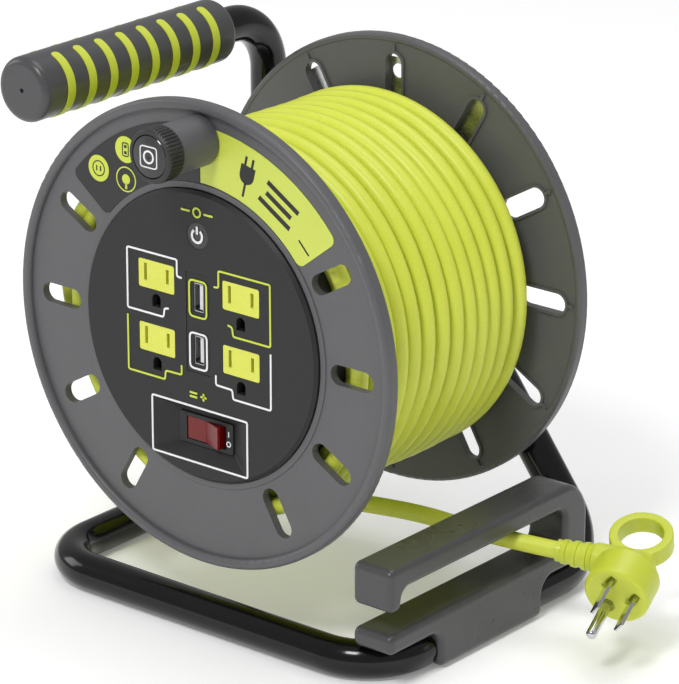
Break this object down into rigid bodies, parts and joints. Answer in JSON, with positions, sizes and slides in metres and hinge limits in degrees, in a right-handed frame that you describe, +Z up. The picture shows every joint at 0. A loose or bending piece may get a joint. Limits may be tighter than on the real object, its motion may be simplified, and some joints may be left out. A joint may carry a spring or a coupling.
{
  "type": "extension cord reel",
  "caption": "Hand-wound extension cord reel on a bent-tube stand with a carry grip, socket panel, rocker switch, crank knob and a cord clip holding the plug end.",
  "frame": {"origin": "middle of the stand's footprint on the floor, without the free cord and plug", "axes": "+Z up, +Y towards the back, +X to the right when facing the socket panel; the reel's axis lies along Y"},
  "size_m": [0.2892, 0.2088, 0.2482],
  "materials": {
    "grey_plastic": "satin moulded grey plastic",
    "black_plastic": "fine matt black plastic",
    "gloss_black": "glossy black plastic",
    "bush_plastic": "smooth natural nylon",
    "black_rubber": "matt black rubber",
    "grip_rubber": "satin dark grey rubber",
    "lime_rubber": "satin lime rubber",
    "lime_cord": "satin lime cord jacket",
    "lime_vinyl": "satin lime moulded vinyl",
    "lime_plastic": "glossy lime plastic",
    "clip_plastic": "satin dark grey plastic",
    "white_plastic": "smooth white plastic",
    "rocker_red": "translucent dark red plastic",
    "board_green": "green circuit board",
    "label_black": "printed black film",
    "label_lime": "printed lime film",
    "label_silver": "silver film",
    "tube_black": "glossy black paint on steel tube",
    "screw_steel": "zinc-plated steel",
    "contact_brass": "plain brass",
    "pin_chrome": "bright nickel plate"
  },
  "bodies": {
    "stand": {"frame_tube": "tube_black", "hub_bracket": "tube_black", "cross_brace": "tube_black", "grip_sleeve": "grip_rubber", "grip_bands": "lime_rubber", "cord_clip": "clip_plastic", "clip_screws": "screw_steel", "axle": "screw_steel", "axle_clip": "screw_steel", "thrust_washer": "bush_plastic", "axle_nut": "screw_steel", "cord_tail": "lime_cord", "plug_body": "lime_vinyl", "plug_strain_relief": "lime_vinyl", "plug_blades": "pin_chrome", "plug_pin": "pin_chrome"},
    "reel": {"front_flange": "grey_plastic", "rear_flange": "grey_plastic", "hub_bushes": "bush_plastic", "drum_core": "grey_plastic", "cord_gland": "black_rubber", "drum_screws": "screw_steel", "flange_screws": "screw_steel", "cord_winding": "lime_cord", "front_panel": "black_plastic", "outlet_faces": "lime_plastic", "outlet_blocks": "black_plastic", "outlet_contacts": "contact_brass", "usb_plate": "black_plastic", "usb_shells": "pin_chrome", "usb_tongues": "white_plastic", "usb_board": "board_green", "power_lamp": "black_plastic", "switch_bezel": "black_plastic", "switch_body": "black_plastic", "switch_tabs": "contact_brass", "socket_housing": "black_plastic", "panel_screws": "screw_steel", "terminal_block": "white_plastic", "label_black": "label_black", "label_lime": "label_lime", "rear_label": "label_silver", "knob_spindle": "screw_steel"},
    "knob": {"knob_body": "grey_plastic", "knob_collar": "grip_rubber", "knob_cap": "gloss_black"},
    "rocker": {"rocker": "rocker_red"}
  },
  "joints": [
    {"name": "reel_spin", "type": "hinge", "parent": "stand", "child": "reel", "pos_m": [0.002, 0.0008, 0.139], "axis": [0, 1, 0], "continuous": true},
    {"name": "knob_spin", "type": "hinge", "parent": "reel", "child": "knob", "pos_m": [0.002, -0.0842, 0.2282], "axis": [0, 1, 0], "continuous": true},
    {"name": "rocker_tilt", "type": "hinge", "parent": "reel", "child": "rocker", "pos_m": [0.002, -0.0652, 0.0936], "axis": [0, 0, 1], "range_deg": [0, 20]}
  ]
}
